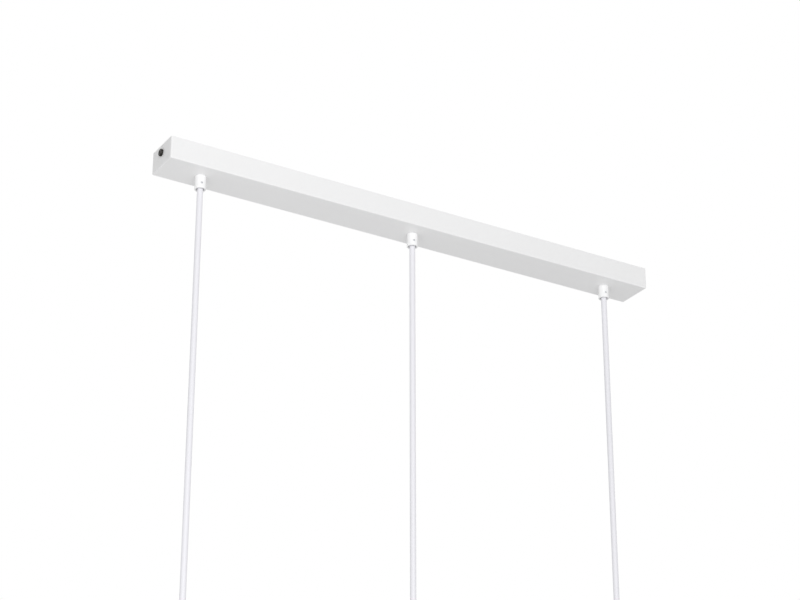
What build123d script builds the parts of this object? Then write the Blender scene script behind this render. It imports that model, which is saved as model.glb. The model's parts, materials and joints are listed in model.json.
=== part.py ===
from build123d import *
import os
from math import cos, radians, sin

# Linear ceiling pendant with three cord-hung lampholders. Millimetres, +Z up, z = 0 is the ceiling.
# The canopy runs along X, centred on the origin. Its long front side faces -Y.

# ---------------------------------------------------------------- canopy cover
canopy_length = 600.0
canopy_width = 45.0
canopy_height = 25.0
cover_sheet = 1.2
fold_radius = 1.2
corner_radius = 1.5

# -------------------------------------------------------------- ceiling bracket
bracket_sheet = 1.5
bracket_width = 28.0
bracket_end_gap = 0.3
tab_length = 17.0
tab_bend_radius = 2.5
collar_height = 2.0
collar_wall = 1.4
slot_spacing = 400.0
slot_length = 14.0
slot_width = 5.2
entry_x = 130.0
entry_hole_diameter = 14.0

# -------------------------------------------------- bush where the supply enters
bush_bore = 9.0
bush_length = 5.0
bush_flange_diameter = 17.0
bush_flange_thickness = 1.5
bush_clearance = 0.1
bush_tube_wall = 1.4

# ------------------------------------------------------ end screws, M4 pan head
end_screw_diameter = 4.0
end_screw_drop = 9.5
end_screw_head_diameter = 8.0
end_screw_head_height = 2.0
end_screw_head_round = 1.2
end_screw_thread_length = 3.4
recess_length = 4.6
recess_width = 0.9
recess_depth = 1.3
cover_hole_clearance = 0.3
lock_washer_diameter = 7.6
lock_washer_thickness = 0.6
lock_washer_gap = 0.8
washer_bore_clearance = 0.1
seat_gap = 0.05
thread_clearance = 0.05

# ------------------------------------------------------------------ cord grips
pendant_end_inset = 44.75
grip_diameter = 12.0
grip_length = 15.0
grip_edge = 0.3
grip_mouth_diameter = 8.6
grip_mouth_depth = 3.8
grip_mouth_chamfer = 0.35
stem_diameter = 10.0
stem_clearance = 0.15
stem_above_nut = 1.7
tooth_washer_diameter = 15.6
tooth_washer_thickness = 0.8
tooth_count = 12
tooth_depth = 1.1
tooth_notch_radius = 0.6
grip_nut_across_flats = 14.0
grip_nut_thickness = 2.8
set_screw_diameter = 2.5
set_screw_length = 2.6
set_screw_drop = 9.4
set_screw_bearing = 10.0
set_screw_socket = 0.75
set_screw_socket_depth = 1.2
set_screw_tip_gap = 0.05

# ------------------------------------------------------------ flex and its cores
flex_diameter = 6.3
flex_clearance = 0.35
core_diameter = 2.4
core_gap = 0.2
sheath_above_stem = 4.5
swing_pivot_above_mouth = 1.0
flex_joint_gap = 0.3
holder_drop = 500.0

# ---------------------------------------------- terminal block inside the canopy
block_x = 60.0
block_y = 2.0
pole_pitch = 10.0
block_depth = 17.0
tunnel_width = 8.4
tunnel_wall = 0.2
block_roof = 2.7
block_floor = 4.9
block_end_wall = 1.0
clamp_length = 8.0
clamp_clearance = 0.2
clamp_bore = 4.0
clamp_screw_diameter = 2.9
clamp_screw_head_diameter = 3.7
clamp_screw_head_height = 1.8
clamp_screw_spacing = 4.6
clamp_screw_recess = 0.7
clamp_screw_slot = 0.6
clamp_screw_tip_gap = 0.2
clamp_screw_hole_clearance = 0.2
ear_length = 7.0
ear_thickness = 3.0
ear_width = 9.0
ear_round = 2.0
block_screw_diameter = 3.0
block_screw_length = 4.4
block_screw_head_diameter = 5.6
block_screw_head_height = 2.0

# ---------------------------------------------------------- earth stud and lead
stud_x = 86.0
stud_y = -15.0
stud_diameter = 3.9
stud_height = 8.0
stud_base_diameter = 7.0
stud_base_thickness = 0.8
lug_ring_diameter = 8.0
lug_thickness = 0.8
lug_hole_clearance = 0.15
lug_barrel_diameter = 3.2
lug_barrel_length = 6.0
stud_nut_across_flats = 7.0
stud_nut_thickness = 3.0

# ------------------------------------------------------------------ lampholders
cap_neck_diameter = 13.5
cap_neck_length = 9.0
cap_bore_clearance = 0.2
cap_diameter = 41.0
cap_wall = 2.0
cap_shoulder_slope = 4.0
cap_shoulder_round = 8.0
cap_neck_round = 3.0
cap_height = 34.0
cap_screw_drop = 4.5
cap_screw_length = 3.0
flex_into_cap = 13.0
spigot_height = 8.0
spigot_clearance = 0.25
flange_overhang = 1.5
flange_thickness = 2.6
ring_seat_wall = 3.0
collar_length = 23.4
lip_wall = 1.9
lip_length = 12.0
lip_round = 1.4
spigot_wall = 1.55
ledge_width = 1.5
ledge_drop = 2.0
ledge_thickness = 2.5
insert_clearance = 0.2
insert_flange_thickness = 5.0
insert_body_height = 8.0
pocket_depth = 1.2
pocket_clearance = 0.3

# --------------------------------------------------- contacts of the lampholders
sleeve_bore = 26.5
sleeve_sheet = 0.5
sleeve_length = 22.0
sleeve_neck_bore = 24.0
sleeve_neck_length = 5.0
sleeve_inner_flange = 2.2
holder_terminal_width = 5.0
holder_terminal_depth = 6.0
holder_terminal_height = 6.0
holder_terminal_x = 6.5
holder_terminal_bore_clearance = 0.15
core_into_terminal = 2.0
holder_screw_diameter = 2.5
holder_screw_head_diameter = 3.6
holder_screw_head_height = 1.4
rivet_diameter = 3.0
rivet_head_diameter = 4.2
rivet_head_height = 0.4
rivet_clearance = 0.1
live_rivet_x = 7.2
neutral_rivet_diameter = 2.0
neutral_rivet_x = 11.2
neutral_strip_thickness = 0.6
neutral_strip_width = 4.0
contact_width = 5.0
contact_sheet = 0.5
contact_length = 11.5
contact_tilt = 12.0
contact_root_gap = 0.3
contact_dimple_diameter = 3.0
contact_dimple_height = 0.5

# ------------------------------------------------------------------- shade rings
ring_clearance = 0.3
ring_shade_gap = 3.4
ring_height = 11.0
ring_wall = 2.5
ring_flange_overhang = 6.5
ring_flange_thickness = 2.2
ring_notch_count = 30
ring_notch_radius = 0.9

# ------------------------------------------------------------ worked-out places
pendant_pitch = canopy_length / 2 - pendant_end_inset
pendant_xs = [-pendant_pitch, 0.0, pendant_pitch]
cover_bottom = -canopy_height
cover_floor = cover_bottom + cover_sheet
inside_half_length = canopy_length / 2 - cover_sheet
bracket_half_length = inside_half_length - bracket_end_gap
bracket_under = -bracket_sheet

washer_under_nut_top = cover_floor + tooth_washer_thickness
grip_nut_top = washer_under_nut_top + grip_nut_thickness
stem_top = grip_nut_top + stem_above_nut
sheath_top = stem_top + sheath_above_stem
grip_bottom = cover_bottom - grip_length
grip_bore = flex_diameter + 2 * flex_clearance
swing_pivot_z = grip_bottom + swing_pivot_above_mouth
flex_top_end = swing_pivot_z + flex_diameter / 2 + flex_joint_gap
set_screw_z = cover_bottom - set_screw_drop

core_step = core_diameter + core_gap
tunnel_top = bracket_under - block_roof
live_level = tunnel_top - tunnel_wall - core_diameter / 2
neutral_level = live_level - core_step - core_gap
earth_level = neutral_level - core_step
tunnel_bottom = earth_level - core_diameter / 2 - tunnel_wall
tunnel_middle = (tunnel_top + tunnel_bottom) / 2
block_bottom = tunnel_bottom - block_floor
block_front = block_y - block_depth / 2
pole_xs = [block_x - pole_pitch, block_x, block_x + pole_pitch]
block_half_length = 1.5 * pole_pitch + block_end_wall
clamp_front = block_y - clamp_length / 2
core_end_y = clamp_front - core_gap
inner_lane = block_front - core_diameter / 2 - core_step
outer_lane = inner_lane - core_step

holder_top = -holder_drop
shoulder_top = holder_top - cap_neck_length
shoulder_low = shoulder_top - cap_shoulder_slope
cap_bottom = holder_top - cap_height
cap_inner_radius = cap_diameter / 2 - cap_wall
cap_bore_radius = flex_diameter / 2 + cap_bore_clearance
spigot_radius = cap_inner_radius - spigot_clearance
skirt_inner = spigot_radius - spigot_wall
ledge_inner = skirt_inner - ledge_width
skirt_flange_radius = cap_diameter / 2 + flange_overhang
collar_radius = skirt_inner + ring_seat_wall
lip_radius = skirt_inner + lip_wall
flex_bottom = holder_top - flex_into_cap
spigot_top = cap_bottom + spigot_height
flange_bottom = cap_bottom - flange_thickness
collar_bottom = flange_bottom - collar_length
skirt_bottom = collar_bottom - lip_length
ledge_top = cap_bottom - ledge_drop
ledge_bottom = ledge_top - ledge_thickness
insert_top = ledge_top + insert_flange_thickness
insert_bottom = ledge_top - insert_body_height
pocket_floor = insert_top - pocket_depth
terminal_top = pocket_floor + holder_terminal_height
sleeve_bottom = insert_bottom - sleeve_length
rivet_head_bottom = insert_bottom - rivet_head_height
contact_root_z = rivet_head_bottom - contact_root_gap
ring_inner_radius = collar_radius + ring_clearance
ring_top = flange_bottom - ring_shade_gap
ring_bottom = ring_top - ring_height
ring_outer_radius = ring_inner_radius + ring_wall
ring_flange_radius = ring_outer_radius + ring_flange_overhang

os.makedirs("parts", exist_ok=True)


def save(part, name):
    """Labels a finished piece and writes it as its own STEP file."""
    part.label = name
    export_step(part, f"parts/{name}.step")


def upright(x, y=0.0):
    """The vertical plane through a round piece's axis: local X is the radius and local Y the height."""
    return Plane(origin=(x, y, 0), x_dir=(1, 0, 0), z_dir=(0, -1, 0))


def upright_axis(x, y=0.0):
    """The vertical axis of a round piece."""
    return Axis((x, y, 0), (0, 0, 1))


def turned(x, outline, y=0.0):
    """A round piece turned from its half outline, given as (radius, height) corners."""
    with BuildPart() as piece:
        with BuildSketch(upright(x, y)):
            with BuildLine():
                Polyline(*outline, close=True)
            make_face()
        revolve(axis=upright_axis(x, y))
    return piece.part


def wire(name, route, diameter):
    """A round wire along straight runs joined by tangent arcs, each 0.45 of the shorter run beside it."""
    points = [Vector(*point) for point in route]
    runs = [(b - a).length for a, b in zip(points, points[1:])]
    radii = [0.45 * min(before, after) for before, after in zip(runs, runs[1:])]
    start = Plane(origin=points[0], z_dir=(points[1] - points[0]).normalized())
    with BuildPart() as piece:
        with BuildLine() as path:
            FilletPolyline(*points, radius=radii)
        with BuildSketch(start):
            Circle(diameter / 2)
        sweep(path=path.wires()[0])
    print(name, "bend radii", [round(radius, 1) for radius in radii])
    return piece.part


# ================================================================= canopy cover
# A folded steel box, open at the ceiling, with a hole for each grip and one in each end for its screw.
with BuildPart() as canopy_cover:
    with BuildSketch(Plane.XY.offset(cover_bottom)):
        Rectangle(canopy_length, canopy_width)
    extrude(amount=canopy_height)
    fillet(canopy_cover.edges().filter_by(Axis.Z), radius=corner_radius)
    fillet(canopy_cover.faces().sort_by(Axis.Z)[0].edges(), radius=fold_radius)
    with BuildSketch(Plane.XY):
        Rectangle(canopy_length - 2 * cover_sheet, canopy_width - 2 * cover_sheet)
    extrude(amount=cover_floor, mode=Mode.SUBTRACT)
    with BuildSketch(Plane.XY.offset(cover_floor)):
        with Locations(*[(x, 0) for x in pendant_xs]):
            Circle(stem_diameter / 2 + stem_clearance)
    extrude(amount=-cover_sheet, mode=Mode.SUBTRACT)
    with BuildSketch(Plane.YZ):
        with Locations((0, -end_screw_drop)):
            Circle(end_screw_diameter / 2 + cover_hole_clearance)
    extrude(amount=canopy_length, both=True, mode=Mode.SUBTRACT)
save(canopy_cover.part, "canopy_cover")

# ============================================================== ceiling bracket
# A steel strip with slots for the ceiling screws. Its turned-down ends are tapped for the end screws.
with BuildPart() as ceiling_bracket:
    with BuildSketch(Plane.XZ) as strip:
        with BuildLine():
            Polyline(
                (-bracket_half_length, -tab_length),
                (-bracket_half_length, 0),
                (bracket_half_length, 0),
                (bracket_half_length, -tab_length),
                (bracket_half_length - bracket_sheet, -tab_length),
                (bracket_half_length - bracket_sheet, bracket_under),
                (bracket_sheet - bracket_half_length, bracket_under),
                (bracket_sheet - bracket_half_length, -tab_length),
                close=True,
            )
        make_face()
        fillet(strip.vertices().group_by(Axis.Y)[-1], radius=tab_bend_radius)
        inner_corners = [v for v in strip.vertices() if abs(v.Y - bracket_under) < seat_gap]
        fillet(
            [v for v in inner_corners if abs(abs(v.X) - bracket_half_length + bracket_sheet) < seat_gap],
            radius=tab_bend_radius - bracket_sheet,
        )
    extrude(amount=bracket_width / 2, both=True)
    for side in (-1, 1):
        with BuildSketch(Plane.YZ.offset(side * (bracket_half_length - bracket_sheet))):
            with Locations((0, -end_screw_drop)):
                Circle(end_screw_diameter / 2 + thread_clearance + collar_wall)
        extrude(amount=-side * collar_height)
    with BuildSketch(Plane.YZ):
        with Locations((0, -end_screw_drop)):
            Circle(end_screw_diameter / 2 + thread_clearance)
    extrude(amount=canopy_length, both=True, mode=Mode.SUBTRACT)
    with BuildSketch(Plane.XY):
        with Locations((-slot_spacing / 2, 0), (slot_spacing / 2, 0)):
            SlotOverall(slot_length, slot_width)
        with Locations((entry_x, 0)):
            Circle(entry_hole_diameter / 2)
        with Locations(
            (block_x - block_half_length - ear_length / 2, block_y),
            (block_x + block_half_length + ear_length / 2, block_y),
        ):
            Circle(block_screw_diameter / 2 + thread_clearance)
    extrude(amount=bracket_under, mode=Mode.SUBTRACT)
save(ceiling_bracket.part, "ceiling_bracket")

# ============================================================ supply entry bush
bush_outer = entry_hole_diameter / 2 - bush_clearance
bush_flange_bottom = bracket_under - bush_flange_thickness
entry_bush = turned(
    entry_x,
    [
        (bush_bore / 2, 0),
        (bush_outer, 0),
        (bush_outer, bracket_under),
        (bush_flange_diameter / 2, bracket_under),
        (bush_flange_diameter / 2, bush_flange_bottom),
        (bush_bore / 2 + bush_tube_wall, bush_flange_bottom),
        (bush_bore / 2 + bush_tube_wall, -bush_length),
        (bush_bore / 2, -bush_length),
    ],
)
save(entry_bush, "entry_bush")

# ================================================== end screws and lock washers
for side, word in ((-1, "left"), (1, "right")):
    washer_face = canopy_length / 2 + seat_gap
    head_face = washer_face + lock_washer_thickness + seat_gap
    tip_face = bracket_half_length - end_screw_thread_length
    with BuildPart() as end_washer:
        with BuildSketch(Plane.YZ.offset(side * washer_face)):
            with Locations((0, -end_screw_drop)):
                Circle(lock_washer_diameter / 2)
                Circle(end_screw_diameter / 2 + washer_bore_clearance, mode=Mode.SUBTRACT)
            with Locations((0, -end_screw_drop - lock_washer_diameter / 2)):
                Rectangle(lock_washer_gap, lock_washer_diameter, mode=Mode.SUBTRACT)
        extrude(amount=side * lock_washer_thickness)
    save(end_washer.part, f"end_washer_{word}")

    with BuildPart() as end_screw:
        with BuildSketch(Plane.YZ.offset(side * tip_face)):
            with Locations((0, -end_screw_drop)):
                Circle(end_screw_diameter / 2)
        extrude(amount=side * (head_face - tip_face))
        with BuildSketch(Plane.YZ.offset(side * head_face)):
            with Locations((0, -end_screw_drop)):
                Circle(end_screw_head_diameter / 2)
        extrude(amount=side * end_screw_head_height)
        crown = end_screw.faces().sort_by(Axis.X)[-1 if side > 0 else 0]
        fillet(crown.edges(), radius=end_screw_head_round)
        with BuildSketch(Plane.YZ.offset(side * (head_face + end_screw_head_height))):
            with Locations((0, -end_screw_drop)):
                Rectangle(recess_length, recess_width)
                Rectangle(recess_width, recess_length)
        extrude(amount=-side * recess_depth, mode=Mode.SUBTRACT)
    save(end_screw.part, f"end_screw_{word}")

# =================================== nuts and toothed washers that hold the grips
with BuildPart() as grip_washers:
    with BuildSketch(Plane.XY.offset(cover_floor)):
        with Locations(*[(x, 0) for x in pendant_xs]):
            Circle(tooth_washer_diameter / 2)
            Circle(stem_diameter / 2 + stem_clearance, mode=Mode.SUBTRACT)
            with PolarLocations(tooth_washer_diameter / 2, tooth_count):
                Rectangle(tooth_depth * 2, tooth_notch_radius * 2, mode=Mode.SUBTRACT)
    extrude(amount=tooth_washer_thickness)
save(grip_washers.part, "grip_washers")

with BuildPart() as grip_nuts:
    with BuildSketch(Plane.XY.offset(washer_under_nut_top)):
        with Locations(*[(x, 0) for x in pendant_xs]):
            RegularPolygon(grip_nut_across_flats / 2, 6, major_radius=False)
            Circle(stem_diameter / 2 + thread_clearance, mode=Mode.SUBTRACT)
    extrude(amount=grip_nut_thickness)
save(grip_nuts.part, "grip_nuts")

# ================================================================ terminal block
with BuildPart() as terminal_housing:
    with BuildSketch(Plane.XY.offset(bracket_under)):
        with Locations((block_x, block_y)):
            Rectangle(2 * block_half_length, block_depth)
    extrude(amount=block_bottom - bracket_under)
    with BuildSketch(Plane.XY.offset(bracket_under)):
        with Locations((block_x, block_y)):
            RectangleRounded(2 * (block_half_length + ear_length), ear_width, ear_round)
    extrude(amount=-ear_thickness)
    with BuildSketch(Plane.XZ.offset(-block_y)):
        with Locations(*[(x, tunnel_middle) for x in pole_xs]):
            Rectangle(tunnel_width, tunnel_top - tunnel_bottom)
    extrude(amount=block_depth, both=True, mode=Mode.SUBTRACT)
    with BuildSketch(Plane.XY.offset(block_bottom)):
        with Locations((block_x, block_y)):
            with GridLocations(pole_pitch, clamp_screw_spacing, 3, 2):
                Circle(clamp_screw_head_diameter / 2 + clamp_screw_hole_clearance)
    extrude(amount=block_floor, mode=Mode.SUBTRACT)
    with BuildSketch(Plane.XY.offset(bracket_under)):
        with Locations((block_x, block_y)):
            with GridLocations(2 * block_half_length + ear_length, 0, 2, 1):
                Circle(block_screw_diameter / 2 + thread_clearance)
    extrude(amount=-ear_thickness, mode=Mode.SUBTRACT)
save(terminal_housing.part, "terminal_housing")

clamp_top = tunnel_top - clamp_clearance
clamp_bottom = tunnel_bottom + clamp_clearance
with BuildPart() as terminal_clamps:
    with BuildSketch(Plane.XZ.offset(-block_y)):
        with Locations(*[(x, tunnel_middle) for x in pole_xs]):
            Rectangle(tunnel_width - 2 * clamp_clearance, clamp_top - clamp_bottom)
            Circle(clamp_bore / 2, mode=Mode.SUBTRACT)
    extrude(amount=clamp_length / 2, both=True)
    with BuildSketch(Plane.XY.offset(clamp_bottom)):
        with Locations((block_x, block_y)):
            with GridLocations(pole_pitch, clamp_screw_spacing, 3, 2):
                Circle(clamp_screw_diameter / 2 + thread_clearance)
    extrude(amount=tunnel_middle - clamp_bottom, mode=Mode.SUBTRACT)
save(terminal_clamps.part, "terminal_clamps")

screw_head_bottom = block_bottom + clamp_screw_recess
screw_head_top = screw_head_bottom + clamp_screw_head_height
screw_tip = tunnel_middle - clamp_bore / 2 - clamp_screw_tip_gap
with BuildPart() as terminal_screws:
    with BuildSketch(Plane.XY.offset(screw_head_bottom)):
        with Locations((block_x, block_y)):
            with GridLocations(pole_pitch, clamp_screw_spacing, 3, 2):
                Circle(clamp_screw_head_diameter / 2)
    extrude(amount=clamp_screw_head_height)
    with BuildSketch(Plane.XY.offset(screw_head_top)):
        with Locations((block_x, block_y)):
            with GridLocations(pole_pitch, clamp_screw_spacing, 3, 2):
                Circle(clamp_screw_diameter / 2)
    extrude(amount=screw_tip - screw_head_top)
    with BuildSketch(Plane.XY.offset(screw_head_bottom)):
        with Locations((block_x, block_y)):
            with GridLocations(pole_pitch, clamp_screw_spacing, 3, 2):
                Rectangle(clamp_screw_head_diameter, clamp_screw_slot)
    extrude(amount=clamp_screw_slot, mode=Mode.SUBTRACT)
save(terminal_screws.part, "terminal_screws")

ear_under = bracket_under - ear_thickness
with BuildPart() as block_screws:
    with BuildSketch(Plane.XY.offset(ear_under)):
        with Locations((block_x, block_y)):
            with GridLocations(2 * block_half_length + ear_length, 0, 2, 1):
                Circle(block_screw_head_diameter / 2)
    extrude(amount=-block_screw_head_height)
    with BuildSketch(Plane.XY.offset(ear_under)):
        with Locations((block_x, block_y)):
            with GridLocations(2 * block_half_length + ear_length, 0, 2, 1):
                Circle(block_screw_diameter / 2)
    extrude(amount=block_screw_length)
    with BuildSketch(Plane.XY.offset(ear_under - block_screw_head_height)):
        with Locations((block_x, block_y)):
            with GridLocations(2 * block_half_length + ear_length, 0, 2, 1):
                Rectangle(block_screw_head_diameter, recess_width)
    extrude(amount=recess_width, mode=Mode.SUBTRACT)
save(block_screws.part, "block_screws")

# ======================================================== earth stud, lug and lead
stud_base_top = cover_floor + stud_base_thickness
lug_top = stud_base_top + lug_thickness
with BuildPart() as earth_stud:
    with BuildSketch(Plane.XY.offset(cover_floor)):
        with Locations((stud_x, stud_y)):
            Circle(stud_base_diameter / 2)
    extrude(amount=stud_base_thickness)
    with BuildSketch(Plane.XY.offset(stud_base_top)):
        with Locations((stud_x, stud_y)):
            Circle(stud_diameter / 2)
    extrude(amount=stud_height)
    with BuildSketch(Plane.XY.offset(lug_top)):
        with Locations((stud_x, stud_y)):
            RegularPolygon(stud_nut_across_flats / 2, 6, major_radius=False)
            Circle(stud_diameter / 2 + thread_clearance, mode=Mode.SUBTRACT)
    extrude(amount=stud_nut_thickness)
save(earth_stud.part, "earth_stud")

barrel_level = stud_base_top + lug_barrel_diameter / 2
barrel_start = stud_x - lug_ring_diameter / 2
barrel_end = barrel_start - lug_barrel_length
with BuildPart() as earth_lug:
    with BuildSketch(Plane.XY.offset(stud_base_top)):
        with Locations((stud_x, stud_y)):
            Circle(lug_ring_diameter / 2)
        with Locations(((stud_x + barrel_end) / 2, stud_y)):
            Rectangle(stud_x - barrel_end, lug_barrel_diameter)
        with Locations((stud_x, stud_y)):
            Circle(stud_diameter / 2 + lug_hole_clearance, mode=Mode.SUBTRACT)
    extrude(amount=lug_thickness)
    with BuildSketch(Plane.YZ.offset(barrel_start)):
        with Locations((stud_y, barrel_level)):
            Circle(lug_barrel_diameter / 2)
    extrude(amount=-lug_barrel_length)
earth_wire = wire(
    "earth_lead",
    [
        (barrel_end, stud_y, barrel_level),
        (block_x, stud_y, barrel_level),
        (block_x, stud_y, earth_level),
        (block_x, core_end_y, earth_level),
    ],
    core_diameter,
)
save(Compound(children=[earth_lug.part.solid(), earth_wire.solid()]), "earth_lead")

# ============================================== three grips with their flex and cores
bearing = radians(set_screw_bearing)
screw_way = Vector(-sin(bearing), -cos(bearing), 0)
live_lanes = [
    (pole_xs[0], outer_lane),
    (pole_xs[0] - core_step, inner_lane),
    (pole_xs[0] + core_step, inner_lane),
]
neutral_lanes = [
    (pole_xs[2], outer_lane),
    (pole_xs[2] - core_step, inner_lane),
    (pole_xs[2] + core_step, inner_lane),
]

for number, x in enumerate(pendant_xs, 1):
    with BuildPart() as grip_body:
        with BuildSketch(Plane.XY.offset(grip_bottom)):
            Circle(grip_diameter / 2)
        extrude(amount=grip_length)
        chamfer(grip_body.faces().sort_by(Axis.Z)[-1].edges(), length=grip_edge)
        fillet(grip_body.faces().sort_by(Axis.Z)[0].edges(), radius=grip_edge)
        with BuildSketch(Plane.XY.offset(cover_bottom)):
            Circle(stem_diameter / 2)
        extrude(amount=stem_top - cover_bottom)
        chamfer(grip_body.faces().sort_by(Axis.Z)[-1].edges(), length=grip_edge)
        with BuildSketch(Plane.XY.offset(grip_bottom)):
            Circle(grip_bore / 2)
        extrude(amount=stem_top - grip_bottom, mode=Mode.SUBTRACT)
        with BuildSketch(Plane.XY.offset(grip_bottom)):
            Circle(grip_mouth_diameter / 2)
        extrude(amount=grip_mouth_depth, mode=Mode.SUBTRACT)
        mouth = grip_body.faces().sort_by(Axis.Z)[0].edges().sort_by(SortBy.RADIUS)[0]
        chamfer(mouth, length=grip_mouth_chamfer)
        with BuildSketch(Plane(origin=(0, 0, set_screw_z), z_dir=screw_way)):
            Circle(set_screw_diameter / 2 + thread_clearance)
        extrude(amount=grip_diameter, mode=Mode.SUBTRACT)
    save(grip_body.part.moved(Location((x, 0, 0))), f"grip_body_{number}")

    tip = Vector(x, 0, set_screw_z) + screw_way * (flex_diameter / 2 + set_screw_tip_gap)
    screw_face = tip + screw_way * set_screw_length
    with BuildPart() as set_screw:
        with BuildSketch(Plane(origin=tip, z_dir=screw_way)):
            Circle(set_screw_diameter / 2)
        extrude(amount=set_screw_length)
        with BuildSketch(Plane(origin=screw_face, z_dir=screw_way)):
            RegularPolygon(set_screw_socket, 6)
        extrude(amount=-set_screw_socket_depth, mode=Mode.SUBTRACT)
    save(set_screw.part, f"set_screw_{number}")

    with BuildPart() as flex_top:
        with BuildSketch(Plane.XY.offset(flex_top_end)):
            with Locations((x, 0)):
                Circle(flex_diameter / 2)
        extrude(amount=sheath_top - flex_top_end)
    save(flex_top.part, f"flex_top_{number}")

    for name, level, lanes, way in (
        ("core_live", live_level, live_lanes, -1),
        ("core_neutral", neutral_level, neutral_lanes, 1),
    ):
        start_x = x + way * core_step / 2
        entry, lane = lanes[number - 1]
        route = [
            (start_x, 0, sheath_top),
            (start_x, 0, level),
            (start_x, lane, level),
            (entry, lane, level),
            (entry, core_end_y, level),
        ]
        save(wire(f"{name}_{number}", route, core_diameter), f"{name}_{number}")

    # The hanging flex has a round top end, about which it swings in the grip's mouth.
    with BuildPart() as flex:
        with BuildSketch(upright(x)):
            with BuildLine():
                Polyline(
                    (0, swing_pivot_z + flex_diameter / 2),
                    (0, flex_bottom),
                    (flex_diameter / 2, flex_bottom),
                    (flex_diameter / 2, swing_pivot_z),
                )
                RadiusArc(
                    (flex_diameter / 2, swing_pivot_z),
                    (0, swing_pivot_z + flex_diameter / 2),
                    -flex_diameter / 2,
                )
            make_face()
        revolve(axis=upright_axis(x))
    save(flex.part, f"flex_{number}")

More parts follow.
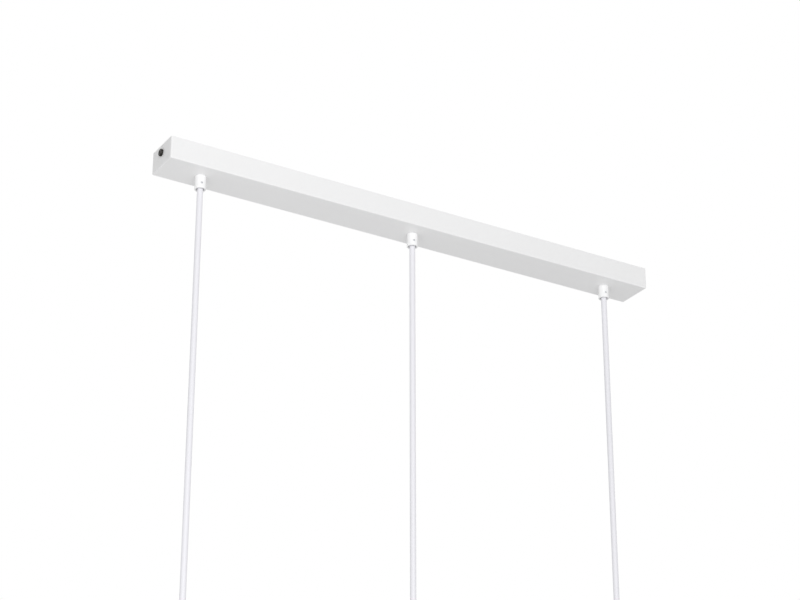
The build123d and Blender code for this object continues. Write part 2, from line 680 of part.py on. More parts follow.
# ================================================================= lampholders
for number, x in enumerate(pendant_xs, 1):
    # Cap: a neck for the flex, a sloping rounded shoulder and a straight wall.
    with BuildPart() as holder_cap:
        with BuildSketch(upright(x)) as cap_section:
            with BuildLine():
                Polyline(
                    (cap_bore_radius, holder_top),
                    (cap_neck_diameter / 2, holder_top),
                    (cap_neck_diameter / 2, shoulder_top),
                    (cap_diameter / 2, shoulder_low),
                    (cap_diameter / 2, cap_bottom),
                    (cap_inner_radius, cap_bottom),
                    (cap_inner_radius, shoulder_low - cap_wall),
                    (cap_bore_radius, shoulder_top - cap_wall),
                    close=True,
                )
            make_face()
            for corner, bend in (
                ((cap_diameter / 2, shoulder_low), cap_shoulder_round),
                ((cap_inner_radius, shoulder_low - cap_wall), cap_shoulder_round - cap_wall),
                ((cap_neck_diameter / 2, shoulder_top), cap_neck_round),
            ):
                fillet(cap_section.vertices().sort_by_distance(corner)[0], radius=bend)
        revolve(axis=upright_axis(x))
        chamfer(holder_cap.faces().sort_by(Axis.Z)[-1].edges(), length=grip_edge)
        with BuildSketch(Plane(origin=(x, 0, holder_top - cap_screw_drop), z_dir=screw_way)):
            Circle(set_screw_diameter / 2 + thread_clearance)
        extrude(amount=cap_neck_diameter, mode=Mode.SUBTRACT)
    save(holder_cap.part, f"holder_cap_{number}")

    screw_tip_point = Vector(x, 0, holder_top - cap_screw_drop)
    screw_tip_point += screw_way * (flex_diameter / 2 + set_screw_tip_gap)
    with BuildPart() as cap_screw:
        with BuildSketch(Plane(origin=screw_tip_point, z_dir=screw_way)):
            Circle(set_screw_diameter / 2)
        extrude(amount=cap_screw_length)
        with BuildSketch(Plane(origin=screw_tip_point + screw_way * cap_screw_length, z_dir=screw_way)):
            Rectangle(set_screw_diameter, recess_width)
        extrude(amount=-recess_width, mode=Mode.SUBTRACT)
    save(cap_screw.part, f"cap_screw_{number}")

    # Skirt: a spigot inside the cap, the flange that carries a shade, the ring's collar and a plain lip.
    with BuildPart() as holder_skirt:
        with BuildSketch(upright(x)):
            with BuildLine():
                Polyline(
                    (skirt_inner, spigot_top),
                    (spigot_radius, spigot_top),
                    (spigot_radius, cap_bottom),
                    (skirt_flange_radius, cap_bottom),
                    (skirt_flange_radius, flange_bottom),
                    (collar_radius, flange_bottom),
                    (collar_radius, collar_bottom),
                    (lip_radius, collar_bottom),
                    (lip_radius, skirt_bottom),
                    (skirt_inner, skirt_bottom),
                    (skirt_inner, ledge_bottom),
                    (ledge_inner, ledge_bottom),
                    (ledge_inner, ledge_top),
                    (skirt_inner, ledge_top),
                    close=True,
                )
            make_face()
        revolve(axis=upright_axis(x))
        rim = holder_skirt.faces().sort_by(Axis.Z)[0].edges().sort_by(SortBy.RADIUS)[-1]
        fillet(rim, radius=lip_round)
    save(holder_skirt.part, f"holder_skirt_{number}")

    # Ceramic insert with pockets for the two terminals and holes for their rivets.
    insert_flange_radius = skirt_inner - insert_clearance
    insert_body_radius = ledge_inner - insert_clearance
    with BuildPart() as holder_insert:
        with BuildSketch(Plane.XY.offset(ledge_top)):
            with Locations((x, 0)):
                Circle(insert_flange_radius)
        extrude(amount=insert_flange_thickness)
        with BuildSketch(Plane.XY.offset(insert_bottom)):
            with Locations((x, 0)):
                Circle(insert_body_radius)
        extrude(amount=insert_body_height)
        with BuildSketch(Plane.XY.offset(insert_top)):
            with Locations((x - holder_terminal_x, 0), (x + holder_terminal_x, 0)):
                Rectangle(
                    holder_terminal_width + 2 * pocket_clearance,
                    holder_terminal_depth + 2 * pocket_clearance,
                )
        extrude(amount=-pocket_depth, mode=Mode.SUBTRACT)
        with BuildSketch(Plane.XY.offset(insert_bottom)):
            with Locations((x + live_rivet_x, 0)):
                Circle(rivet_diameter / 2 + rivet_clearance)
            with Locations((x - neutral_rivet_x, 0)):
                Circle(neutral_rivet_diameter / 2 + rivet_clearance)
        extrude(amount=insert_top - insert_bottom, mode=Mode.SUBTRACT)
    save(holder_insert.part, f"holder_insert_{number}")

    # Two brass terminals with their screws. One is riveted to the centre contact, one to the sleeve.
    terminal_xs = (x + holder_terminal_x, x - holder_terminal_x)
    terminal_side = -holder_terminal_depth / 2
    screw_level = pocket_floor + holder_terminal_height / 2
    strip_inner = x - holder_terminal_x - holder_terminal_width / 2
    strip_outer = x - neutral_rivet_x - neutral_strip_width / 2
    with BuildPart() as holder_terminals:
        with BuildSketch(Plane.XY.offset(pocket_floor)):
            with Locations(*[(place, 0) for place in terminal_xs]):
                Rectangle(holder_terminal_width, holder_terminal_depth)
        extrude(amount=holder_terminal_height)
        with BuildSketch(Plane.XY.offset(insert_top)):
            with Locations(((strip_inner + strip_outer) / 2, 0)):
                Rectangle(strip_inner - strip_outer, neutral_strip_width)
        extrude(amount=neutral_strip_thickness)
        with BuildSketch(Plane.XY.offset(insert_bottom)):
            with Locations((x - neutral_rivet_x, 0)):
                Circle(neutral_rivet_diameter / 2)
        extrude(amount=insert_top - insert_bottom)
        with BuildSketch(Plane.XY.offset(insert_bottom)):
            with Locations((x + live_rivet_x, 0)):
                Circle(rivet_diameter / 2)
        extrude(amount=pocket_floor - insert_bottom)
        with BuildSketch(Plane.XY.offset(insert_bottom)):
            with Locations((x + live_rivet_x, 0)):
                Circle(rivet_head_diameter / 2)
        extrude(amount=-rivet_head_height)
        with BuildSketch(Plane.XY.offset(terminal_top)):
            with Locations(*[(place, 0) for place in terminal_xs]):
                Circle(core_diameter / 2 + holder_terminal_bore_clearance)
        extrude(amount=-core_into_terminal - core_gap, mode=Mode.SUBTRACT)
        with BuildSketch(Plane.XZ.offset(-terminal_side)):
            with Locations(*[(place, screw_level) for place in terminal_xs]):
                Circle(holder_screw_head_diameter / 2)
        extrude(amount=holder_screw_head_height)
    save(holder_terminals.part, f"holder_terminals_{number}")

    core_ends = []
    for way in (-1, 1):
        near = x + way * core_step / 2
        far = x + way * holder_terminal_x
        rise = (flex_bottom - terminal_top) / 3
        core_ends.append(
            wire(
                f"holder_cores_{number}",
                [
                    (near, 0, flex_bottom),
                    (near, 0, flex_bottom - rise),
                    (far, 0, terminal_top + rise),
                    (far, 0, terminal_top - core_into_terminal),
                ],
                core_diameter,
            ).solid()
        )
    save(Compound(children=core_ends), f"holder_cores_{number}")

    # Screw shell of the socket: the inward flange under the insert, a plain neck, then the wider thread.
    shell_radius = sleeve_bore / 2
    neck_radius = sleeve_neck_bore / 2
    neck_bottom = insert_bottom - sleeve_neck_length
    thread_sleeve = turned(
        x,
        [
            (neck_radius - sleeve_inner_flange, insert_bottom),
            (neck_radius + sleeve_sheet, insert_bottom),
            (neck_radius + sleeve_sheet, neck_bottom),
            (shell_radius + sleeve_sheet, neck_bottom),
            (shell_radius + sleeve_sheet, sleeve_bottom),
            (shell_radius, sleeve_bottom),
            (shell_radius, neck_bottom - sleeve_sheet),
            (neck_radius, neck_bottom - sleeve_sheet),
            (neck_radius, insert_bottom - sleeve_sheet),
            (neck_radius - sleeve_inner_flange, insert_bottom - sleeve_sheet),
        ],
    )
    save(thread_sleeve, f"thread_sleeve_{number}")

    # Centre contact: a sprung tongue that slopes down from its root to a round dimple.
    contact_root_x = x + live_rivet_x + rivet_head_diameter / 2
    slope = radians(contact_tilt)
    along = Vector(-cos(slope), 0, -sin(slope))
    down = Vector(sin(slope), 0, -cos(slope))
    root = Vector(contact_root_x, 0, contact_root_z)
    dimple = root + along * (contact_length - contact_dimple_diameter / 2) + down * contact_sheet
    with BuildPart() as centre_contact:
        with BuildSketch(Plane(origin=root, x_dir=along, z_dir=down)):
            with Locations((contact_length / 2, 0)):
                SlotOverall(contact_length, contact_width)
        extrude(amount=contact_sheet)
        with BuildSketch(Plane(origin=dimple, x_dir=along, z_dir=down)):
            Circle(contact_dimple_diameter / 2)
        extrude(amount=contact_dimple_height)
    save(centre_contact.part, f"centre_contact_{number}")

    # Ring that clamps a shade against the skirt's flange, with notches round its rim for the fingers.
    shade_ring = turned(
        x,
        [
            (ring_inner_radius, ring_top),
            (ring_flange_radius, ring_top),
            (ring_flange_radius, ring_top - ring_flange_thickness),
            (ring_outer_radius, ring_top - ring_flange_thickness),
            (ring_outer_radius, ring_bottom),
            (ring_inner_radius, ring_bottom),
        ],
    )
    with BuildPart() as notched_ring:
        add(shade_ring)
        with BuildSketch(Plane.XY.offset(ring_top)):
            with Locations((x, 0)):
                with PolarLocations(ring_flange_radius, ring_notch_count):
                    Circle(ring_notch_radius)
        extrude(amount=-ring_flange_thickness, mode=Mode.SUBTRACT)
    save(notched_ring.part, f"shade_ring_{number}")
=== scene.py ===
import bmesh
import bpy
import json
from math import cos, pi, radians, sin, tau
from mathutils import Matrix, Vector


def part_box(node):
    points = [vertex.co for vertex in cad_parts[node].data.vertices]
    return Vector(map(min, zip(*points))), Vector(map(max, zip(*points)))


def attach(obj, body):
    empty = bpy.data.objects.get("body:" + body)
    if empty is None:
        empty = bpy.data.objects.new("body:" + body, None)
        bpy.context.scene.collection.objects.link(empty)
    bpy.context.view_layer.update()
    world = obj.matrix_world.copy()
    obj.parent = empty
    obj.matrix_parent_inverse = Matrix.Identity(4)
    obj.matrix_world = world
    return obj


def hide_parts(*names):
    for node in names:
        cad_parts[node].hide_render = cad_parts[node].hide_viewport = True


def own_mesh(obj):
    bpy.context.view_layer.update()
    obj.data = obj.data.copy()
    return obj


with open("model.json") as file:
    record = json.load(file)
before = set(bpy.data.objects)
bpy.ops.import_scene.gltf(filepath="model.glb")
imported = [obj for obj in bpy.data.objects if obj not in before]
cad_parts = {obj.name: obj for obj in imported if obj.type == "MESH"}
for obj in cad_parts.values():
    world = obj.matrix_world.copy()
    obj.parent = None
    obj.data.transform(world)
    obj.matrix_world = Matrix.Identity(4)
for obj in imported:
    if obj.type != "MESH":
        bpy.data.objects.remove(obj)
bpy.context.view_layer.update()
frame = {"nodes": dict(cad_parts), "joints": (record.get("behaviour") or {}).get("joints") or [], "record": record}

MM = 0.001
PENDANTS = (1, 2, 3)
WELD = 0.002 * MM
NEAR = 0.05 * MM
FLAT_ANGLE = radians(0.5)
CREASE = radians(35)

# =========================================================================== camera
# The photograph looks up at the canopy's front and its left end with a long lens, and its frame sits
# a little high in the lens's picture.
CAMERA_PLACE = (-1.0854, -1.7836, -1.0860)
CAMERA_YAW = 30.957
CAMERA_PITCH = 24.137
CAMERA_LENS = 96.85
CAMERA_SHIFT = 0.05

# ============================================================================ light
ROOM_GLOW = 0.44
ROOM_WHITE = 1.0
FLOOR_GLOW = 0.185
FRONT_LAMP = {"place": (-0.9, -2.3, -0.35), "aim": (-0.05, 0, -0.05), "size": 1.4, "power": 28.0}
LOW_LAMP = {"place": (-0.9, -0.3, -1.25), "aim": (-0.2, 0, 0), "size": 1.0, "power": 2.4}
FLOOR_LEVEL = -1.36
FLOOR_SIZE = 80.0

# ==================================================== sizes that only the looks need
ROUND_STEPS = 96
CORD_ROUND_STEPS = 48
CORD_DOME_STEPS = 8
CORD_ROW = 6 * MM

# The collar's outside thread and the shade ring's inside thread, which runs 0.3 mm clear of it.
COLLAR_RADIUS = 19.7 * MM
COLLAR_LENGTH = 23.4 * MM
LIP_LENGTH = 12.0 * MM
RING_BORE_RADIUS = 20.0 * MM
RING_WALL_RADIUS = 22.5 * MM
RING_FLANGE_THICKNESS = 2.2 * MM
THREAD_DEPTH = 0.8 * MM
THREAD_RIDGE = 0.55 * MM
THREAD_PITCH = 3.0 * MM
THREAD_STEPS = 72
RIB_COUNT = 48
RIB_RADIUS = 0.5 * MM
RIB_STANDS = 0.3 * MM

# The socket's rolled shell: seven threads to the inch, pressed from thin sheet.
SHELL_PITCH = 25.4 / 7 * MM
SHELL_SHEET = 0.5 * MM
SHELL_CREST_RADIUS = 13.25 * MM
SHELL_WAVE = 0.42 * MM
SHELL_NECK_RADIUS = 12.0 * MM
SHELL_FLANGE_RADIUS = 9.8 * MM
SHELL_NECK_LENGTH = 5.5 * MM
SHELL_RUN_OUT = 1.6 * MM
SHELL_ROW = 0.22 * MM

# How far each hard piece's sharp edges are broken.
BROKEN_EDGES = {
    "ceiling_bracket": 0.12 * MM,
    "grip_nuts": 0.25 * MM,
    "terminal_housing": 0.3 * MM,
    "terminal_clamps": 0.15 * MM,
    "terminal_screws": 0.1 * MM,
    "block_screws": 0.12 * MM,
    "earth_stud": 0.12 * MM,
    "end_washer": 0.06 * MM,
    "holder_insert": 0.2 * MM,
    "holder_terminals": 0.12 * MM,
}


def camera():
    """The photograph's camera."""
    data = bpy.data.cameras.new("photo_camera")
    data.sensor_width = 36.0
    data.lens = CAMERA_LENS
    data.shift_y = CAMERA_SHIFT
    data.clip_start = 0.05
    data.clip_end = 50.0
    eye = bpy.data.objects.new("photo_camera", data)
    eye.location = CAMERA_PLACE
    eye.rotation_euler = (radians(90 + CAMERA_PITCH), 0, radians(-CAMERA_YAW))
    bpy.context.scene.collection.objects.link(eye)
    bpy.context.scene.camera = eye


# ==================================================================== node materials
class Finish:
    """A node material that is put together one node at a time."""

    def __init__(self, name, **sockets):
        self.material = bpy.data.materials.new(name)
        self.material.use_nodes = True
        self.tree = self.material.node_tree
        self.shader = self.tree.nodes["Principled BSDF"]
        self.place = self.node("ShaderNodeTexCoord").outputs["Object"]
        for socket, value in sockets.items():
            self.shader.inputs[socket.replace("_", " ")].default_value = value

    def node(self, kind, **settings):
        made = self.tree.nodes.new(kind)
        for name, value in settings.items():
            setattr(made, name, value)
        return made

    def feed(self, made, **values):
        """Sets or links a node's inputs by name."""
        for socket, value in values.items():
            target = made.inputs[socket.replace("_", " ")]
            if isinstance(value, bpy.types.NodeSocket):
                self.tree.links.new(value, target)
            else:
                target.default_value = value
        return made

    def noise(self, scale, detail=3.0, roughness=0.5, place=None):
        made = self.node("ShaderNodeTexNoise")
        self.feed(made, Vector=place or self.place, Scale=scale, Detail=detail, Roughness=roughness)
        return made.outputs["Fac"]

    def stretched(self, scale):
        """Object coordinates, stretched by a different factor along each axis."""
        made = self.node("ShaderNodeMapping")
        self.feed(made, Vector=self.place, Scale=scale)
        return made.outputs["Vector"]

    def between(self, value, low, high, start=0.0, end=1.0):
        """Maps value from start..end to low..high."""
        made = self.node("ShaderNodeMapRange")
        self.feed(made, Value=value, From_Min=start, From_Max=end, To_Min=low, To_Max=high)
        return made.outputs["Result"]

    def blend_colours(self, factor, first, second):
        made = self.node("ShaderNodeMix", data_type="RGBA")
        self.tree.links.new(factor, made.inputs["Factor"])
        made.inputs["A"].default_value = (*first, 1)
        made.inputs["B"].default_value = (*second, 1)
        return made.outputs["Result"]

    def bump(self, height, distance, strength=1.0):
        made = self.node("ShaderNodeBump")
        self.feed(made, Height=height, Distance=distance, Strength=strength)
        self.tree.links.new(made.outputs["Normal"], self.shader.inputs["Normal"])

    def set(self, socket, value):
        self.tree.links.new(value, self.shader.inputs[socket])


def powder_coat():
    """White fine-texture powder coat on sheet steel: a soft sheen over a slight orange peel."""
    made = Finish("white_powder_coat")
    peel = made.noise(900.0, detail=2.0)
    cloud = made.noise(14.0, detail=2.0)
    made.set("Base Color", made.blend_colours(cloud, (0.898, 0.898, 0.901), (0.914, 0.914, 0.917)))
    made.set("Roughness", made.between(peel, 0.36, 0.50))
    made.bump(peel, 0.00006, 0.5)
    return made.material


def smooth_nylon():
    """Turned and polished white nylon of the cord grips."""
    made = Finish("grip_nylon", Coat_Weight=0.6, Coat_Roughness=0.12)
    grain = made.noise(500.0, detail=3.0, place=made.stretched((1.0, 1.0, 0.15)))
    made.set("Base Color", made.blend_colours(grain, (0.950, 0.950, 0.953), (0.965, 0.965, 0.968)))
    made.set("Roughness", made.between(grain, 0.26, 0.36))
    made.bump(grain, 0.00003, 0.4)
    return made.material


def flex_jacket():
    """White PVC sheath with a cool tint and faint lengthwise draw marks."""
    made = Finish("flex_jacket")
    marks = made.noise(700.0, detail=3.0, place=made.stretched((1.0, 1.0, 0.03)))
    mottle = made.noise(60.0, detail=2.0)
    made.set("Base Color", made.blend_colours(mottle, (0.845, 0.840, 0.880), (0.865, 0.860, 0.900)))
    made.set("Roughness", made.between(marks, 0.38, 0.52))
    made.bump(marks, 0.00005, 0.5)
    return made.material


def dark_nickel():
    """Black nickel plate of the end screws, greyer where the plate is thin."""
    made = Finish("dark_nickel", Metallic=1.0)
    patches = made.noise(1200.0, detail=4.0)
    made.set("Base Color", made.blend_colours(patches, (0.028, 0.027, 0.025), (0.065, 0.062, 0.058)))
    made.set("Roughness", made.between(patches, 0.24, 0.42))
    made.bump(patches, 0.00003, 0.3)
    return made.material


def zinc_plate():
    """Bright zinc plate with the dull rolling marks of the strip under it."""
    made = Finish("zinc_plate", Metallic=1.0)
    rolling = made.noise(300.0, detail=4.0, place=made.stretched((0.04, 1.0, 1.0)))
    spangle = made.node("ShaderNodeTexVoronoi")
    made.feed(spangle, Vector=made.place, Scale=220.0)
    tone = made.between(spangle.outputs["Distance"], 0.0, 1.0)
    made.set("Base Color", made.blend_colours(tone, (0.60, 0.61, 0.63), (0.74, 0.75, 0.76)))
    made.set("Roughness", made.between(rolling, 0.28, 0.46))
    made.bump(rolling, 0.00003, 0.4)
    return made.material


def brass():
    """Drawn brass, a little duller where it was handled."""
    made = Finish("plain_brass", Metallic=1.0)
    handled = made.noise(180.0, detail=4.0)
    drawn = made.noise(900.0, detail=2.0, place=made.stretched((1.0, 1.0, 0.08)))
    made.set("Base Color", made.blend_colours(handled, (0.72, 0.55, 0.24), (0.84, 0.68, 0.36)))
    made.set("Roughness", made.between(drawn, 0.22, 0.38))
    made.bump(drawn, 0.00002, 0.3)
    return made.material


def shell_nickel():
    """Nickel-plated shell of the socket."""
    made = Finish("shell_nickel", Metallic=1.0)
    drawn = made.noise(600.0, detail=3.0, place=made.stretched((1.0, 1.0, 0.2)))
    made.set("Base Color", made.blend_colours(drawn, (0.66, 0.64, 0.60), (0.76, 0.74, 0.70)))
    made.set("Roughness", made.between(drawn, 0.2, 0.34))
    made.bump(drawn, 0.00002, 0.3)
    return made.material


def plastic(name, low, high, rough=(0.28, 0.38), grain=350.0, depth=0.00003):
    """A moulded plastic with a fine grain and a slight drift of colour."""
    made = Finish(name)
    drift = made.noise(40.0, detail=2.0)
    fine = made.noise(grain, detail=3.0)
    made.set("Base Color", made.blend_colours(drift, low, high))
    made.set("Roughness", made.between(fine, *rough))
    made.bump(fine, depth, 0.4)
    return made.material


def porcelain():
    """Unglazed porcelain: chalky, with fine dark specks."""
    made = Finish("porcelain", Roughness=0.6)
    specks = made.between(made.noise(1500.0, detail=2.0), 0.0, 1.0, 0.62, 0.72)
    made.set("Base Color", made.blend_colours(specks, (0.83, 0.81, 0.77), (0.55, 0.52, 0.47)))
    made.bump(made.noise(700.0), 0.00005, 0.5)
    return made.material


def striped_insulation():
    """Green insulation with yellow bands along the earth lead."""
    made = Finish("earth_stripes", Roughness=0.35)
    bands = made.node("ShaderNodeTexWave", wave_type="BANDS", bands_direction="DIAGONAL")
    made.feed(bands, Vector=made.place, Scale=110.0)
    edge = made.between(bands.outputs["Fac"], 0.0, 1.0, 0.48, 0.52)
    made.set("Base Color", made.blend_colours(edge, (0.06, 0.30, 0.05), (0.80, 0.62, 0.03)))
    made.bump(made.noise(500.0), 0.00002, 0.3)
    return made.material


def make_finishes():
    return {
        "canopy_paint": powder_coat(),
        "grip_white": smooth_nylon(),
        "flex_sheath": flex_jacket(),
        "dark_steel": dark_nickel(),
        "zinc_steel": zinc_plate(),
        "brass": brass(),
        "socket_nickel": shell_nickel(),
        "porcelain": porcelain(),
        "earth_core": striped_insulation(),
        "block_nylon": plastic("natural_nylon", (0.80, 0.78, 0.72), (0.85, 0.83, 0.77), (0.35, 0.5)),
        "black_rubber": plastic("entry_rubber", (0.02, 0.02, 0.02), (0.035, 0.035, 0.035), (0.5, 0.7)),
        "live_core": plastic("brown_insulation", (0.12, 0.045, 0.018), (0.16, 0.06, 0.025)),
        "neutral_core": plastic("blue_insulation", (0.01, 0.07, 0.32), (0.015, 0.09, 0.38)),
        "holder_plastic": plastic("holder_plastic", (0.885, 0.883, 0.875), (0.905, 0.903, 0.895)),
    }


# ================================================================== pieces from meshes
def add_piece(name, mesh, finish):
    """A new piece at the origin, with its place in its mesh."""
    mesh.materials.clear()
    mesh.materials.append(finish)
    piece = bpy.data.objects.new(name, mesh)
    bpy.context.scene.collection.objects.link(piece)
    return piece


def body_of_node(node):
    bodies = frame["record"]["behaviour"]["bodies"]
    return next(body for body, nodes in bodies.items() if node in nodes)


def joint(name):
    return next(joint for joint in frame["joints"] if joint["name"] == name)


def slot_of_node(node):
    return next(part["material_slot"] for part in frame["record"]["subparts"] if part["node"] == node)


def kind_of(node):
    """A node's name without the number or side word at its end."""
    stem, _, last = node.rpartition("_")
    return stem if last.isdigit() or last in ("left", "right") else node


def welded(node):
    """A construction piece's mesh as a welded bmesh, with each flat face in one piece."""
    work = bmesh.new()
    work.from_mesh(frame["nodes"][node].data)
    bmesh.ops.remove_doubles(work, verts=work.verts, dist=WELD)
    bmesh.ops.dissolve_limit(work, angle_limit=FLAT_ANGLE, verts=work.verts, edges=work.edges)
    return work


def finish_piece(name, work, slot, body, nodes, broken=0.0):
    """Turns a bmesh into a smoothly shaded piece that rides on a body and stands for its nodes."""
    mesh = bpy.data.meshes.new(name)
    work.to_mesh(mesh)
    work.free()
    mesh.shade_smooth()
    mesh.set_sharp_from_angle(angle=CREASE)
    piece = add_piece(name, mesh, finishes[slot])
    if broken:
        edges = piece.modifiers.new("broken_edges", "BEVEL")
        edges.width = broken
        edges.segments = 2
        edges.limit_method = "ANGLE"
        edges.angle_limit = CREASE
        edges.harden_normals = True
    weights = piece.modifiers.new("face_weights", "WEIGHTED_NORMAL")
    weights.keep_sharp = True
    piece.data = plain_mesh(piece)
    piece.modifiers.clear()
    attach(piece, body)
    if nodes:
        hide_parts(*nodes)
    return piece


def plain_mesh(piece):
    """A piece's mesh as its modifiers leave it."""
    bpy.context.view_layer.update()
    return bpy.data.meshes.new_from_object(piece.evaluated_get(bpy.context.evaluated_depsgraph_get()))


def finished_copy(node):
    """A smoothly shaded copy of a construction piece with its sharp edges broken, which stands for it."""
    broken = BROKEN_EDGES.get(kind_of(node), 0.0)
    return finish_piece(
        f"{node}_finished", welded(node), slot_of_node(node), body_of_node(node), [node], broken
    )


def move_band(work, x, radius, low, high, to_radius):
    """Moves the points of a round wall about the upright axis at x from one radius to another."""
    for point in work.verts:
        across = Vector((point.co.x - x, point.co.y))
        if abs(across.length - radius) < NEAR and low - NEAR < point.co.z < high + NEAR:
            across *= to_radius / across.length
            point.co.x, point.co.y = x + across.x, across.y


def pendant_x(number):
    """Where a pendant hangs along the canopy."""
    low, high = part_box(f"flex_{number}")
    return (low[0] + high[0]) / 2


def lathe(outline_at, x, steps=ROUND_STEPS):
    """A closed round shape about the upright axis at x, from its (radius, height) outline at each turn."""
    work = bmesh.new()
    rings = []
    for step in range(steps):
        turn = tau * step / steps
        rings.append(
            [
                work.verts.new((x + radius * cos(turn), radius * sin(turn), height))
                for radius, height in outline_at(turn)
            ]
        )
    for step in range(steps):
        near, far = rings[step], rings[(step + 1) % steps]
        for row in range(len(near)):
            following = (row + 1) % len(near)
            work.faces.new((near[row], far[row], far[following], near[following]))
    bmesh.ops.remove_doubles(work, verts=work.verts, dist=WELD)
    bmesh.ops.recalc_face_normals(work, faces=work.faces)
    return work


# ================================================= what repeats, made by geometry nodes
class Tree:
    """A geometry node tree with named inputs, put together one node at a time."""

    def __init__(self, name, **sizes):
        self.group = bpy.data.node_groups.new(name, "GeometryNodeTree")
        sockets = self.group.interface
        sockets.new_socket("Geometry", in_out="INPUT", socket_type="NodeSocketGeometry")
        for size, default in sizes.items():
            whole = isinstance(default, int)
            kind = "NodeSocketInt" if whole else "NodeSocketFloat"
            made = sockets.new_socket(size.replace("_", " "), in_out="INPUT", socket_type=kind)
            made.default_value = default
        sockets.new_socket("Place", in_out="INPUT", socket_type="NodeSocketVector")
        sockets.new_socket("Finish", in_out="INPUT", socket_type="NodeSocketMaterial")
        sockets.new_socket("Geometry", in_out="OUTPUT", socket_type="NodeSocketGeometry")
        self.given = self.group.nodes.new("NodeGroupInput").outputs
        self.result = self.group.nodes.new("NodeGroupOutput")

    def node(self, kind, settings=(), **values):
        """A new node, with its inputs set or linked by name."""
        made = self.group.nodes.new(kind)
        for name, value in dict(settings).items():
            setattr(made, name, value)
        for socket, value in values.items():
            target = made.inputs[socket.replace("_", " ")]
            if isinstance(value, bpy.types.NodeSocket):
                self.group.links.new(value, target)
            else:
                target.default_value = value
        return made.outputs[0]

    def times(self, first, second):
        made = self.group.nodes.new("ShaderNodeMath")
        made.operation = "MULTIPLY"
        self.group.links.new(first, made.inputs[0])
        self.group.links.new(second, made.inputs[1])
        return made.outputs[0]

    def end(self, shape):
        """Places the shape, makes its copies real and gives it its finish."""
        placed = self.node("GeometryNodeTransform", Geometry=shape, Translation=self.given["Place"])
        real = self.node("GeometryNodeRealizeInstances", Geometry=placed)
        coated = self.node("GeometryNodeSetMaterial", Geometry=real, Material=self.given["Finish"])
        self.group.links.new(coated, self.result.inputs["Geometry"])
        return self.group


def thread_tree():
    """A screw thread: one round ridge that climbs a cylinder."""
    tree = Tree("screw_thread", Radius=0.02, Pitch=0.003, Turns=7.0, Ridge=0.0005, Steps=64)
    line = tree.node(
        "GeometryNodeCurveSpiral",
        Resolution=tree.given["Steps"],
        Rotations=tree.given["Turns"],
        Start_Radius=tree.given["Radius"],
        End_Radius=tree.given["Radius"],
        Height=tree.times(tree.given["Pitch"], tree.given["Turns"]),
    )
    outline = tree.node("GeometryNodeCurvePrimitiveCircle", Resolution=10, Radius=tree.given["Ridge"])
    ridge = tree.node("GeometryNodeCurveToMesh", Curve=line, Profile_Curve=outline, Fill_Caps=True)
    return tree.end(ridge)


def rib_tree():
    """Upright ribs, evenly spaced round a circle."""
    tree = Tree("finger_ribs", Count=48, Radius=0.02, Rib_Radius=0.0005, Length=0.008)
    circle = tree.node("GeometryNodeMeshCircle", Vertices=tree.given["Count"], Radius=tree.given["Radius"])
    rib = tree.node(
        "GeometryNodeMeshCylinder", Vertices=8, Radius=tree.given["Rib Radius"], Depth=tree.given["Length"]
    )
    ribs = tree.node("GeometryNodeInstanceOnPoints", Points=circle, Instance=rib)
    return tree.end(ribs)


def grown(tree, place, slot, **sizes):
    """The mesh that a node tree makes with these sizes, as a bmesh."""
    seed = add_piece("seed", bpy.data.meshes.new("seed"), finishes[slot])
    made = seed.modifiers.new("grow", "NODES")
    made.node_group = tree
    given = {"Place": place, "Finish": finishes[slot]}
    given.update({name.replace("_", " "): value for name, value in sizes.items()})
    for socket in tree.interface.items_tree:
        if socket.in_out == "INPUT" and socket.name in given:
            made[socket.identifier] = given[socket.name]
    work = bmesh.new()
    work.from_mesh(plain_mesh(seed))
    bpy.data.objects.remove(seed)
    bmesh.ops.recalc_face_normals(work, faces=work.faces)
    return work


def joined(first, *others):
    """Several bmeshes as one."""
    for other in others:
        part = bpy.data.meshes.new("part")
        other.to_mesh(part)
        other.free()
        first.from_mesh(part)
        bpy.data.meshes.remove(part)
    return first


# ======================================================================= lampholders
def screw_thread(x, radius, bottom, top):
    """The ridge of a lampholder's thread, between two heights."""
    start = bottom + THREAD_RIDGE
    return grown(
        trees["thread"],
        (x, 0, start),
        "holder_plastic",
        Radius=radius,
        Pitch=THREAD_PITCH,
        Turns=(top - THREAD_RIDGE - start) / THREAD_PITCH,
        Ridge=THREAD_RIDGE,
        Steps=THREAD_STEPS,
    )


def threaded_skirt(number):
    """The lampholder's skirt, with the thread for the shade ring cut into its collar."""
    node, x = f"holder_skirt_{number}", pendant_x(number)
    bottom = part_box(node)[0][2] + LIP_LENGTH
    top = bottom + COLLAR_LENGTH
    skirt = welded(node)
    move_band(skirt, x, COLLAR_RADIUS, bottom, top, COLLAR_RADIUS - THREAD_DEPTH)
    skirt = joined(skirt, screw_thread(x, COLLAR_RADIUS - THREAD_RIDGE, bottom, top))
    return finish_piece(f"{node}_finished", skirt, "holder_plastic", body_of_node(node), [node])


def threaded_ring(number):
    """The shade ring, with its inside thread and the ribs that the fingers turn it by."""
    node, x = f"shade_ring_{number}", pendant_x(number)
    bottom, top = (corner[2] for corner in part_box(node))
    ring = welded(node)
    move_band(ring, x, RING_BORE_RADIUS, bottom, top, RING_BORE_RADIUS + THREAD_DEPTH)
    thread = screw_thread(x, RING_BORE_RADIUS + THREAD_RIDGE, bottom, top)
    flange_under = top - RING_FLANGE_THICKNESS
    length = flange_under - bottom - RIB_STANDS
    ribs = grown(
        trees["ribs"],
        (x, 0, flange_under - length / 2),
        "holder_plastic",
        Count=RIB_COUNT,
        Radius=RING_WALL_RADIUS + RIB_STANDS - RIB_RADIUS,
        Rib_Radius=RIB_RADIUS,
        Length=length,
    )
    ring = joined(ring, thread, ribs)
    return finish_piece(f"{node}_finished", ring, "holder_plastic", body_of_node(node), [node])


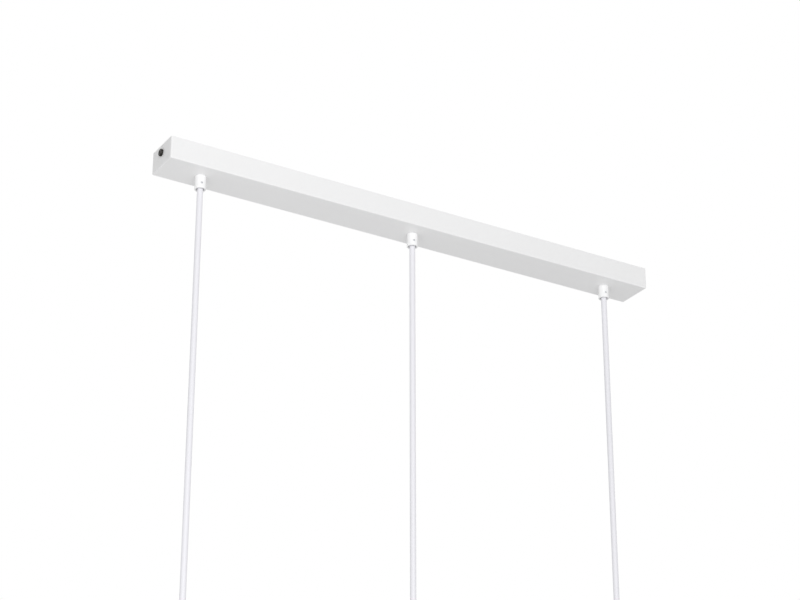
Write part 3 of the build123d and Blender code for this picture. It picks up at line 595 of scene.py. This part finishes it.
def rolled_shell(number):
    """The socket's screw shell: thin sheet with a rounded thread rolled into it, below a plain neck."""
    node = f"thread_sleeve_{number}"
    bottom, top = (corner[2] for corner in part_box(node))
    neck_bottom = top - SHELL_NECK_LENGTH
    rows = round((neck_bottom - bottom) / SHELL_ROW)
    heights = [neck_bottom + (bottom - neck_bottom) * row / rows for row in range(rows + 1)]

    def inner_radius(turn, height):
        inset = min(neck_bottom - height, height - bottom)
        fade = min(1.0, inset / SHELL_RUN_OUT)
        swing = cos(tau * (height - bottom) / SHELL_PITCH - turn)
        return SHELL_CREST_RADIUS - SHELL_WAVE * fade * (1 - swing)

    def outline_at(turn):
        inside = [(inner_radius(turn, height), height) for height in heights]
        outside = [(radius + SHELL_SHEET, height) for radius, height in reversed(inside)]
        neck = SHELL_NECK_RADIUS
        under, over = top - SHELL_SHEET, neck_bottom - SHELL_SHEET
        top_outside = [(neck + SHELL_SHEET, neck_bottom), (neck + SHELL_SHEET, top)]
        top_inside = [(SHELL_FLANGE_RADIUS, top), (SHELL_FLANGE_RADIUS, under), (neck, under)]
        return [*outside, *top_outside, *top_inside, (neck, over), *inside[1:]]

    shell = lathe(outline_at, pendant_x(number))
    return finish_piece(f"{node}_finished", shell, slot_of_node(node), body_of_node(node), [node])


def holder_core(number, side, word):
    """One of the two cores inside a lampholder, on its side of the flex, in its own colour."""
    node, x = f"holder_cores_{number}", pendant_x(number)
    core = welded(node)
    away = [face for face in core.faces if side * (face.calc_center_median().x - x) < 0]
    bmesh.ops.delete(core, geom=away, context="FACES")
    return finish_piece(f"holder_{word}_{number}_finished", core, word, body_of_node(node), [node])


# ============================================================================= cords
def hanging_cord(number):
    """One straight flex, from the round end inside its grip down into the lampholder's cap."""
    low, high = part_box(f"flex_{number}")
    x = pendant_x(number)
    radius = (high[0] - low[0]) / 2
    shoulder = high[2] - radius
    climbs = [pi / 2 * step / CORD_DOME_STEPS for step in range(CORD_DOME_STEPS)]
    dome = [(radius * cos(climb), shoulder + radius * sin(climb)) for climb in climbs]
    rows = round((shoulder - low[2]) / CORD_ROW)
    side = [(radius, low[2] + (shoulder - low[2]) * row / rows) for row in range(rows)]
    outline = [(0.0, low[2]), *side, *dome, (0.0, high[2])]
    tube = lathe(lambda turn: outline, x, CORD_ROUND_STEPS)
    cord = finish_piece(f"flex_jacket_{number}", tube, "flex_sheath", f"flex_{number}", [f"flex_{number}"])
    top, bottom = (x, 0.0, high[2]), (x, 0.0, low[2])
    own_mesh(cord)
    return cord, top, bottom


# ============================================================================= stage
def stage():
    """A plain pale floor far under the part, which glows a little."""
    half = FLOOR_SIZE / 2
    mesh = bpy.data.meshes.new("floor")
    corners = [(-half, -half), (half, -half), (half, half), (-half, half)]
    mesh.from_pydata([(x, y, FLOOR_LEVEL) for x, y in corners], [], [(0, 1, 2, 3)])
    floor = bpy.data.objects.new("floor", mesh)
    bpy.context.scene.collection.objects.link(floor)
    pale = Finish("floor_pale", Roughness=0.9, Emission_Color=(1, 1, 1, 1), Emission_Strength=FLOOR_GLOW)
    pale.set("Base Color", pale.blend_colours(pale.noise(3.0), (0.80, 0.80, 0.80), (0.82, 0.82, 0.82)))
    mesh.materials.append(pale.material)


def white_room():
    """A room that lights the part softly, and that the camera, mirrors and glass see as white."""
    world = bpy.data.worlds.new("white_room")
    bpy.context.scene.world = world
    world.use_nodes = True
    tree = world.node_tree
    tree.nodes.clear()
    rays = tree.nodes.new("ShaderNodeLightPath").outputs
    seen = rays["Is Camera Ray"]
    for ray in ("Is Glossy Ray", "Is Transmission Ray"):
        either = tree.nodes.new("ShaderNodeMath")
        either.operation = "MAXIMUM"
        tree.links.new(seen, either.inputs[0])
        tree.links.new(rays[ray], either.inputs[1])
        seen = either.outputs[0]
    mix = tree.nodes.new("ShaderNodeMixShader")
    tree.links.new(seen, mix.inputs[0])
    for socket, strength in ((1, ROOM_GLOW), (2, ROOM_WHITE)):
        glow = tree.nodes.new("ShaderNodeBackground")
        glow.inputs["Color"].default_value = (1, 1, 1, 1)
        glow.inputs["Strength"].default_value = strength
        tree.links.new(glow.outputs[0], mix.inputs[socket])
    output = tree.nodes.new("ShaderNodeOutputWorld")
    tree.links.new(mix.outputs[0], output.inputs["Surface"])


def lamp(name, place, aim, size, power):
    """A square soft lamp that the camera doesn't see."""
    data = bpy.data.lights.new(name, "AREA")
    data.shape = "SQUARE"
    data.size = size
    data.energy = power
    made = bpy.data.objects.new(name, data)
    made.location = place
    made.rotation_euler = (Vector(aim) - Vector(place)).to_track_quat("-Z", "Y").to_euler()
    made.visible_camera = False
    bpy.context.scene.collection.objects.link(made)


# ============================================================================== scene
camera()
finishes = make_finishes()
trees = {"thread": thread_tree(), "ribs": rib_tree()}
stage()
white_room()
lamp("front_softbox", **FRONT_LAMP)
lamp("low_softbox", **LOW_LAMP)

MADE_APART = ("flex", "holder_skirt", "shade_ring", "thread_sleeve", "holder_cores")
for node in frame["nodes"]:
    if kind_of(node) not in MADE_APART:
        finished_copy(node)

PLAIN_HOLDER_PARTS = ("holder_cap", "cap_screw", "holder_insert", "holder_terminals", "centre_contact")
for number in PENDANTS:
    on_cord = [bpy.data.objects[f"{part}_{number}_finished"] for part in PLAIN_HOLDER_PARTS]
    on_cord += [threaded_skirt(number), threaded_ring(number), rolled_shell(number)]
    on_cord += [holder_core(number, 1, "live_core"), holder_core(number, -1, "neutral_core")]
    cord, top, bottom = hanging_cord(number)

bpy.context.scene.view_settings.view_transform = "Standard"
